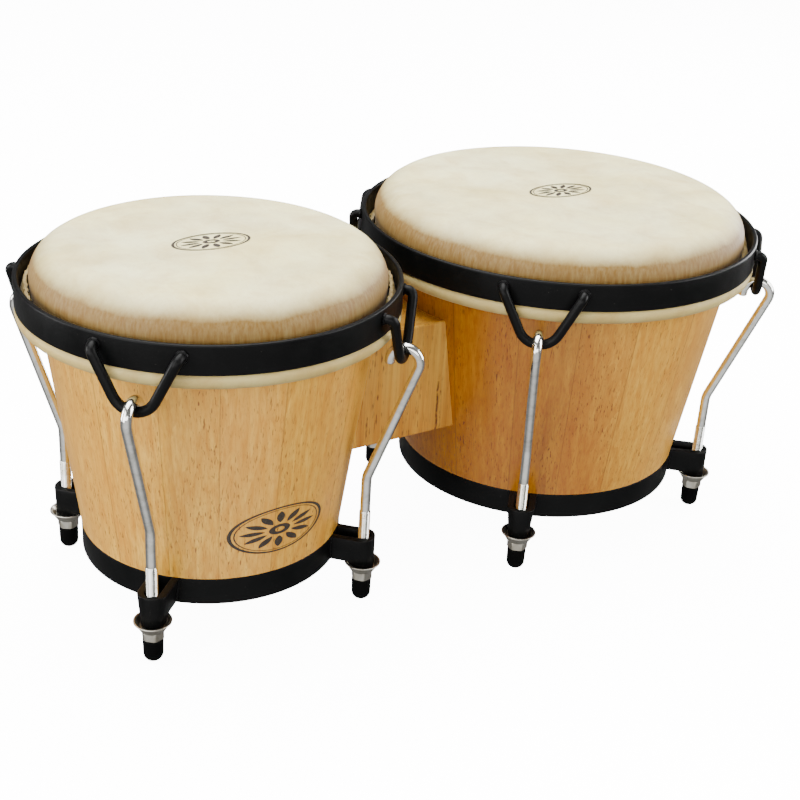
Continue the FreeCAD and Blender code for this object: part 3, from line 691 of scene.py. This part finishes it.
def build_ears(drum, material):
    """Four bent round bars welded to the hoop."""
    bar_out = drum.hoop_out + EAR_ROUND + EAR_STAND
    play = HOOK_ROUND - ROD_ROUND - EAR_ROUND - HOOK_PLAY
    low = HOOK_LEVEL + math.sqrt(play ** 2 - HOOK_REACH ** 2)
    centre = low + EAR_TURN
    rise = EAR_TOP - centre
    swing = math.atan2(rise, EAR_HALF) - math.acos(EAR_TURN / math.hypot(EAR_HALF, rise))
    corner_up = centre + EAR_TURN / math.sin(swing)
    face = math.sqrt(drum.hoop_out ** 2 - EAR_HALF ** 2)
    shoulder = bar_out - 1.6 * MM
    corners = [
        (face - 0.8 * MM, -EAR_HALF, EAR_TOP),
        (shoulder, -EAR_HALF, EAR_TOP),
        (bar_out, 0, corner_up),
        (shoulder, EAR_HALF, EAR_TOP),
        (face - 0.8 * MM, EAR_HALF, EAR_TOP),
    ]
    loop = bent_line(corners, [3.4 * MM, EAR_TURN, 3.4 * MM], 12)
    parts = []
    for number, angle in enumerate(drum.angles):
        line = drum.place(angle, loop)
        parts.append(tube(line, EAR_ROUND, 24))
        outward = Vector((math.cos(angle), math.sin(angle), 0))
        across = Vector((-math.sin(angle), math.cos(angle), 0))
        for side in (-1, 1):
            spot = drum.axis + outward * (face + 0.35 * MM) + across * EAR_HALF * side
            spot += Vector((0, 0, EAR_TOP))
            parts.append(ring_of_weld(spot, across, EAR_ROUND - 0.1 * MM, 0.7 * MM, number * 2 + side))
    piece = make_piece(f"{drum.name}_loops", *joined(parts))
    return finish_piece(piece, material, drum.hoop_set, [f"{drum.name}_ears"])


def rod_line(drum):
    """The rod's centre line in its own upright plane: threaded foot, bend, slanting run and hook."""
    foot = drum.rod_out
    centre = Vector((drum.hoop_out + EAR_ROUND + EAR_STAND + HOOK_REACH, 0, HOOK_LEVEL))
    bend = Vector((foot, 0, ROD_BEND))
    away = centre - bend
    run_angle = math.atan2(away.z, away.x) - math.asin(HOOK_ROUND / away.length)
    first = run_angle - math.pi / 2
    hook = [
        centre + Vector((math.cos(t), 0, math.sin(t))) * HOOK_ROUND
        for t in (first + (math.pi - first) * k / 22 for k in range(23))
    ]
    fine = THREAD_PITCH / 7
    count = round((THREAD_TOP - drum.rod_low) / fine)
    thread = [Vector((foot, 0, drum.rod_low + fine * k)) for k in range(count + 1)]
    bottom = Vector((foot, 0, THREAD_TOP + 1.5 * MM))
    knee = turn_off(bottom, bend, hook[0], BEND_ROUND, 12)
    shank = [bottom] + knee + [knee[-1].lerp(hook[0], k / 6) for k in range(1, 6)] + hook
    tail = shank[-1] - Vector((0, 0, HOOK_TAIL))
    return thread + shank + [tail], len(thread)


def build_rods(drum, material):
    """Four rods with rolled threads, which stand a little proud of the shank."""
    line, threads = rod_line(drum)
    fine = THREAD_PITCH / 7

    def size(index, angle):
        if index >= threads:
            return ROD_ROUND
        turn = (index * fine / THREAD_PITCH - angle / (2 * math.pi)) % 1.0
        flank = min(max(abs(turn - 0.5) * 2.6 - 0.25, 0.0), 1.0)
        fade = smooth_step((threads - index) / 7)
        crest = ROD_ROUND + (THREAD_ROUND - ROD_ROUND) * fade
        return crest - THREAD_DEPTH * flank * fade
    parts = [tube(drum.place(angle, line), size, 20) for angle in drum.angles]
    piece = make_piece(f"{drum.name}_rods", *joined(parts), sharp=70)
    return finish_piece(piece, material, drum.hoop_set, [f"{drum.name}_tension_rods"])


# ---------------------------------------------------------------- bottom ring, lugs and feet


def build_ring(drum, material):
    inner, outer = drum.ring_out - 2.2 * MM, drum.ring_out
    corners = [
        (inner, drum.ring_low),
        (outer, drum.ring_low),
        (outer, drum.ring_high),
        (inner, drum.ring_high),
    ]
    section = rounded_loop(corners, [0.3 * MM, 0.7 * MM, 0.6 * MM, 0.2 * MM])
    points, faces = lathe(section, drum.axis, 320)
    piece = make_piece(f"{drum.name}_foot_band", points, faces, sharp=50)
    return finish_piece(piece, material, ROOT, [f"{drum.name}_bottom_ring"])


def lug_width(drum, level):
    """Half the lug's width at a level: its arms lean together towards the bottom."""
    rise = (level - drum.lug_low) / (drum.lug_high - drum.lug_low)
    return LUG_WIDE_LOW + (LUG_WIDE_HIGH - LUG_WIDE_LOW) * rise


def lug_shape(drum):
    """One U-shaped bracket in the lug's own place: outward, sideways, up."""
    stops = [("arm", -1, k / 16) for k in range(16)]
    stops += [("bend", 1, -math.pi / 2 + math.pi * k / 28) for k in range(29)]
    stops += [("arm", 1, k / 16) for k in reversed(range(16))]

    def reach(kind, side, part, wide, out):
        if kind == "bend":
            return drum.rod_out + out * math.cos(part), wide * math.sin(part)
        root = math.sqrt(drum.ring_out ** 2 - wide ** 2) - 0.3 * MM
        return root + (drum.rod_out - root) * part, side * wide
    points, faces = [], []
    for kind, side, part in stops:
        along = reach(kind, side, part, LUG_HOLE, LUG_HOLE)[0]
        rise = smooth_step((drum.rod_out - 2.8 * MM - along) / (4.4 * MM)) if kind == "arm" else 0.0
        low = drum.lug_low + rise * (drum.ring_low + 0.3 * MM - drum.lug_low)
        corners = [(0, low), (1 * MM, low), (1 * MM, drum.lug_high), (0, drum.lug_high)]
        row = rounded_loop(corners, [0.15 * MM, 0.38 * MM, 0.38 * MM, 0.15 * MM], 4)
        for across, up in row:
            inner = reach(kind, side, part, LUG_HOLE, LUG_HOLE)
            outer = reach(kind, side, part, lug_width(drum, up), LUG_REACH)
            share = across / MM
            points.append(Vector((
                inner[0] + (outer[0] - inner[0]) * share,
                inner[1] + (outer[1] - inner[1]) * share,
                up,
            )))
    count = len(row)
    for i in range(len(stops) - 1):
        for k in range(count):
            following = (k + 1) % count
            a, b = i * count, (i + 1) * count
            faces.append((a + k, a + following, b + following, b + k))
    faces.append(tuple(range(count))[::-1])
    last = (len(stops) - 1) * count
    faces.append(tuple(last + k for k in range(count)))
    return points, faces


def weld_seam(drum, side, seed):
    """The upright weld where a lug's arm meets the ring."""
    low, high = drum.ring_low + 1.5 * MM, drum.lug_high - 0.8 * MM
    line = []
    for k in range(17):
        level = low + (high - low) * k / 16
        wide = lug_width(drum, level)
        out = math.sqrt(drum.ring_out ** 2 - wide ** 2) + 0.2 * MM * noise.noise(Vector((k, seed, 1)))
        line.append(Vector((out, side * wide, level)))

    def size(index, angle):
        return (0.8 + 0.18 * math.sin(index * 2.1 + seed)) * MM
    return line, size


def build_lugs(drum, material):
    parts = []
    points, faces = lug_shape(drum)
    for number, angle in enumerate(drum.angles):
        parts.append((drum.place(angle, points), faces))
        for side in (-1, 1):
            line, size = weld_seam(drum, side, number * 2 + side)
            parts.append(tube(drum.place(angle, line), size, 8))
    piece = make_piece(f"{drum.name}_brackets", *joined(parts), sharp=45)
    return finish_piece(piece, material, ROOT, [f"{drum.name}_lugs"])


def build_cups(drum, material):
    """Four cup washers: pressed dishes with a rim, each holding the bottom of a lug."""
    bore = THREAD_ROUND + 0.4 * MM
    seat = drum.lug_low - 0.03 * MM
    corners = [
        (bore, drum.cup_low),
        (CUP_NECK, drum.cup_low),
        (CUP_ROUND - 0.7 * MM, drum.cup_high - 0.75 * MM),
        (CUP_ROUND, drum.cup_high - 0.55 * MM),
        (CUP_ROUND, drum.cup_high),
        (CUP_ROUND - 1.0 * MM, drum.cup_high),
        (CUP_NECK + 0.3 * MM, seat),
        (bore, seat),
    ]
    section = rounded_loop(corners, [mm * MM for mm in (0.2, 0.7, 0.25, 0.2, 0.22, 0.22, 0.5, 0.2)], 4)
    parts = []
    for angle in drum.angles:
        middle = drum.place(angle, [(drum.rod_out, 0, 0)])[0]
        parts.append(lathe(section, middle, 72))
    piece = make_piece(f"{drum.name}_cups", *joined(parts), sharp=50)
    return finish_piece(piece, material, ROOT, [f"{drum.name}_cup_washers"])


def nut_shape(drum, turn):
    """A hexagon nut with both ends chamfered and its bore countersunk, about its own axis."""
    flat, tip = NUT_FLATS / 2, NUT_FLATS / math.sqrt(3)
    low, high = drum.nut_low, drum.nut_high
    drop = 0.62 * MM
    levels = [
        (low, flat - 0.25 * MM),
        (low + drop / 2, (flat + tip) / 2),
        (low + drop, tip),
        (high - drop, tip),
        (high - drop / 2, (flat + tip) / 2),
        (high, flat - 0.25 * MM),
    ]
    bore = THREAD_ROUND + 0.08 * MM
    steps = 96
    points, faces = [], []
    for k in range(steps):
        angle = 2 * math.pi * k / steps
        local = (angle + math.pi / 6) % (math.pi / 3) - math.pi / 6
        hexagon = min(flat / math.cos(local), tip - 0.12 * MM)
        column = [(min(hexagon, limit), level) for level, limit in levels]
        column += [(bore + 0.45 * MM, high), (bore, high - 0.45 * MM), (bore, low + 0.45 * MM),
                   (bore + 0.45 * MM, low)]
        count = len(column)
        way = Vector((math.cos(angle + turn), math.sin(angle + turn), 0))
        points += [way * out + Vector((0, 0, up)) for out, up in column]
    for k in range(steps):
        a, b = k * count, (k + 1) % steps * count
        for j in range(count):
            following = (j + 1) % count
            faces.append((a + j, b + j, b + following, a + following))
    return points, faces


def build_nuts(drum, material):
    for number, angle in enumerate(drum.angles, 1):
        middle = drum.place(angle, [(drum.rod_out, 0, 0)])[0]
        points, faces = nut_shape(drum, angle + number * 0.37)
        nut = f"{drum.name}_nut_{number}"
        piece = make_piece(f"{drum.name}_hex_{number}", [middle + point for point in points], faces, sharp=24)
        finish_piece(piece, material, f"{nut}_body", [nut])


def build_feet(drum, material):
    """Four rubber tips: blind caps with a rounded nose and a soft lip."""
    corners = [
        (0.02 * MM, 0),
        (TIP_ROUND - 0.3 * MM, 0),
        (TIP_ROUND, drum.tip_high),
        (THREAD_ROUND, drum.tip_high),
        (THREAD_ROUND, 3 * MM),
        (0.02 * MM, 3 * MM),
    ]
    section = rounded_loop(corners, [0, 4.2 * MM, 0.6 * MM, 0.3 * MM, 0, 0], 8)
    parts = []
    for angle in drum.angles:
        middle = drum.place(angle, [(drum.rod_out, 0, 0)])[0]
        parts.append(lathe(section, middle, 48))
    piece = make_piece(f"{drum.name}_feet", *joined(parts), sharp=50)
    return finish_piece(piece, material, drum.hoop_set, [f"{drum.name}_rubber_tips"])


# ---------------------------------------------------------------- printed rosettes

PETALS = 12
PRINT_LIFT = 0.05 * MM
HEAD_MARK_DROP = 0.02 * MM


def rosette(radius, squash, rings):
    """A plain ornament of petals inside a ring, as flat patches of (across, up) quads."""
    patches = []
    for k in range(PETALS):
        angle = 2 * math.pi * k / PETALS
        ahead = Vector((math.cos(angle), math.sin(angle)))
        side = Vector((-ahead.y, ahead.x))
        ribs = []
        for j in range(9):
            part = j / 8
            out = radius * (0.30 + 0.48 * part)
            wide = radius * 0.085 * math.sin(math.pi * min(part * 0.96 + 0.02, 1.0)) ** 0.8
            ribs.append((ahead * out - side * wide, ahead * out + side * wide))
        patches.append(ribs)
    for low, high in rings:
        circle = []
        for k in range(97):
            angle = 2 * math.pi * k / 96
            way = Vector((math.cos(angle), math.sin(angle)))
            circle.append((way * radius * low, way * radius * high))
        patches.append(circle)
    squashed = Vector((1, squash))
    return [[(low * squashed, high * squashed) for low, high in ribs] for ribs in patches]


def printed(name, patches, lay, material, body):
    """A printed mark: every point of the flat patches laid on the surface by lay(across, up)."""
    points, faces = [], []
    for ribs in patches:
        start = len(points)
        for low, high in ribs:
            points += [lay(low.x, low.y), lay(high.x, high.y)]
        for i in range(len(ribs) - 1):
            a = start + 2 * i
            faces.append((a, a + 2, a + 3, a + 1))
    piece = make_piece(name, points, faces)
    return finish_piece(piece, material, body)


def lay_on_head(drum):
    """Puts a flat pattern on the middle of a head, just above the slightly sunken hide."""
    def lay(across, up):
        return drum.axis + Vector((across, up, drum.head_top - HEAD_MARK_DROP))
    return lay


def lay_on_shell(drum, angle, level):
    """Wraps a flat pattern round the lower shell, centred at an angle and a level."""
    def lay(across, up):
        height = level + up
        out = drum.shell_line(height) + PRINT_LIFT
        way = angle + across / out
        return drum.axis + Vector((out * math.cos(way), out * math.sin(way), height))
    return lay


# ---------------------------------------------------------------- everything together

# The head's wall below the crown is painted darker tan, mostly as painted shade inside the hoop.
rawhide = hide("rawhide_head", 0.0, 190.2 * MM, 181.0 * MM, 0.98)
# The wrapped edge: its tuck is painted darker tan as shade inside the hoop, and its bead is darkened and
# yellowed, partly as painted shade under the hoop.
rawhide_edge = hide("rawhide_edge", 0.25, 161.0 * MM, 164.0 * MM, 0.55, (0.57, 0.50, 0.37, 1.0))
black = black_coat("black_coat")
chrome = plated("rod_chrome", tint(238, 238, 233), tint(200, 198, 188), 0.07, 0.20, (300, 300, 40))
zinc = plated("zinc_plate", tint(198, 194, 182), tint(150, 142, 122), 0.24, 0.46, (600, 600, 300))
wire = plated("ring_wire", tint(170, 166, 156), tint(120, 112, 96), 0.30, 0.50, (500, 500, 200))
tips = rubber("tip_rubber")
print_ink = ink("print_ink")

for drum in drums:
    build_head(drum, rawhide)
    build_wrap(drum, rawhide_edge)
    build_hoop(drum, black)
    build_ears(drum, black)
    build_rods(drum, chrome)
    build_ring(drum, black)
    build_lugs(drum, black)
    build_cups(drum, zinc)
    build_nuts(drum, zinc)
    build_feet(drum, tips)

small, large = drums
STAVES = {"small": 14, "large": 16}
# the angle of the painted shadow that the small drum casts on the large shell
SHADOW_SIDE = {"small": None, "large": math.radians(-154)}
BLOCK_HALF = 28 * MM
SPLIT_BACK = 9.5 * MM
block_end = large.axis.x - math.sqrt(large.shell_line(85 * MM) ** 2 - BLOCK_HALF ** 2)
finishes = {"block": wood("block_wood", Vector((0, 0, 0)), 0, 3.7, split=block_end - SPLIT_BACK)}
for seed, drum in enumerate(drums):
    finishes[f"{drum.name}_shell"] = wood(
        f"{drum.name}_shell_wood", drum.axis, STAVES[drum.name], 1.3 + seed, SHADOW_SIDE[drum.name])
    finishes[f"{drum.name}_flesh_ring"] = wire
for node in ("block_bolts", "block_washers"):
    finishes[node] = zinc
for node, material in finishes.items():
    mesh = nodes[node].data
    mesh.materials.clear()
    mesh.materials.append(material)

HEAD_MARK = 20.5 * MM
SHELL_MARK = 27 * MM
marks = rosette(HEAD_MARK, 0.54, ((0.93, 1.0), (0.86, 0.885), (0.10, 0.22)))
printed("small_head_mark", marks, lay_on_head(small), print_ink, ROOT)
printed("large_head_mark", marks, lay_on_head(large), print_ink, ROOT)
shell_marks = rosette(SHELL_MARK, 0.50, ((0.93, 1.0), (0.86, 0.885), (0.10, 0.22)))
printed("small_shell_mark", shell_marks, lay_on_shell(small, math.radians(-88), 64 * MM), print_ink, ROOT)

# ---------------------------------------------------------------- floor, light and camera


def backdrop():
    """A wide pale floor, and far off a paper wall that curves up out of it all the way round."""
    shader = Shader("floor_paper", Roughness=0.75, Specular_IOR_Level=0.2, Emission_Strength=12.0)
    shader.surface.inputs["Emission Color"].default_value = (1.0, 1.0, 1.0, 1.0)
    grain = shader.noise(shader.place(), 260.0, 3.0, 0.5)
    colour = shader.mix(shader.fit(grain, 0.3, 0.7), tint(248, 248, 247), tint(244, 244, 243))
    paper = shader.drive(Base_Color=colour)
    size, curve = 6.0, 2.0
    flat = [(size * math.cos(t), size * math.sin(t), 0) for t in (math.pi / 32 * k for k in range(64))]
    turns = [math.pi / 24 * k for k in range(13)]
    sweep = [(size + curve * math.sin(t), curve - curve * math.cos(t)) for t in turns]
    wall = lathe(sweep + [(size + curve, 5.0)], Vector((0, 0, 0)), 64, closed=False)
    for name, shape in (("floor", (flat, [tuple(range(64))])), ("paper_wall", wall)):
        stage = make_piece(name, *shape)
        stage.data.materials.append(paper)
        stage.visible_glossy = False
        stage.visible_diffuse = False
        stage.visible_shadow = name == "floor"


def soft_light(name, spot, aim, size, power):
    data = bpy.data.lights.new(name, "AREA")
    data.shape = "RECTANGLE"
    data.size, data.size_y = size
    data.energy = power
    lamp = bpy.data.objects.new(name, data)
    lamp.location = spot
    lamp.rotation_euler = (Vector(aim) - Vector(spot)).to_track_quat("-Z", "Y").to_euler()
    bpy.context.scene.collection.objects.link(lamp)


WORLD_BASE = 0.24
WORLD_FRONT = 0.95
WORLD_BRIGHT_WAY = Vector((-0.49, -0.74, -0.46))


def soft_world():
    """White light from all round, brighter from the lower front, as a white floor returns it."""
    world = bpy.data.worlds.new("studio")
    bpy.context.scene.world = world
    world.use_nodes = True
    nodes, links = world.node_tree.nodes, world.node_tree.links
    background = nodes["Background"]
    background.inputs["Color"].default_value = (1.0, 1.0, 1.0, 1.0)
    way = nodes.new("ShaderNodeTexCoord")
    toward = nodes.new("ShaderNodeVectorMath")
    toward.operation = "DOT_PRODUCT"
    toward.inputs[1].default_value = WORLD_BRIGHT_WAY.normalized()
    rise = nodes.new("ShaderNodeMapRange")
    rise.interpolation_type = "SMOOTHSTEP"
    ends = {"From Min": 0.35, "From Max": 1.0, "To Min": WORLD_BASE, "To Max": WORLD_FRONT}
    for socket, value in ends.items():
        rise.inputs[socket].default_value = value
    links.new(way.outputs["Generated"], toward.inputs[0])
    links.new(toward.outputs["Value"], rise.inputs["Value"])
    links.new(rise.outputs["Result"], background.inputs["Strength"])


backdrop()
soft_world()
middle = Vector((-0.007, -0.011, 0.088))
soft_light("overhead", (-0.1, 0.35, 1.9), middle, (2.2, 1.8), 118)
soft_light("left", (-1.5, -0.4, 0.7), middle, (0.9, 1.4), 28)
soft_light("right", (1.3, -1.0, 0.7), middle, (0.9, 1.2), 40)
soft_light("front", (-0.9, -1.4, 0.6), middle, (1.6, 0.5), 14)
soft_light("left_rim", (-1.6, 0.9, 0.45), middle, (0.6, 1.2), 32)
soft_light("right_rim", (1.7, 0.3, 0.45), middle, (0.6, 1.2), 34)

CAMERA_TURN = math.radians(-33.926)
CAMERA_RISE = math.radians(25.822)
CAMERA_ROLL = math.radians(3.604)
CAMERA_REACH = 765.0 * MM
CAMERA_AIM = Vector((-8.096, -11.393, 85.007)) * MM
CAMERA_LENS = 62.506

away = Vector((
    math.sin(CAMERA_TURN) * math.cos(CAMERA_RISE),
    -math.cos(CAMERA_TURN) * math.cos(CAMERA_RISE),
    math.sin(CAMERA_RISE),
))
level_right = (-away).cross(Vector((0, 0, 1))).normalized()
level_up = level_right.cross(-away)
right = level_right * math.cos(CAMERA_ROLL) + level_up * math.sin(CAMERA_ROLL)
up = level_up * math.cos(CAMERA_ROLL) - level_right * math.sin(CAMERA_ROLL)
lens = bpy.data.cameras.new("camera")
lens.lens = CAMERA_LENS
lens.sensor_width = 36
camera = bpy.data.objects.new("camera", lens)
camera.matrix_world = Matrix.Translation(CAMERA_AIM + away * CAMERA_REACH) @ Matrix(
    (right, up, away)).transposed().to_4x4()
bpy.context.scene.collection.objects.link(camera)
bpy.context.scene.camera = camera
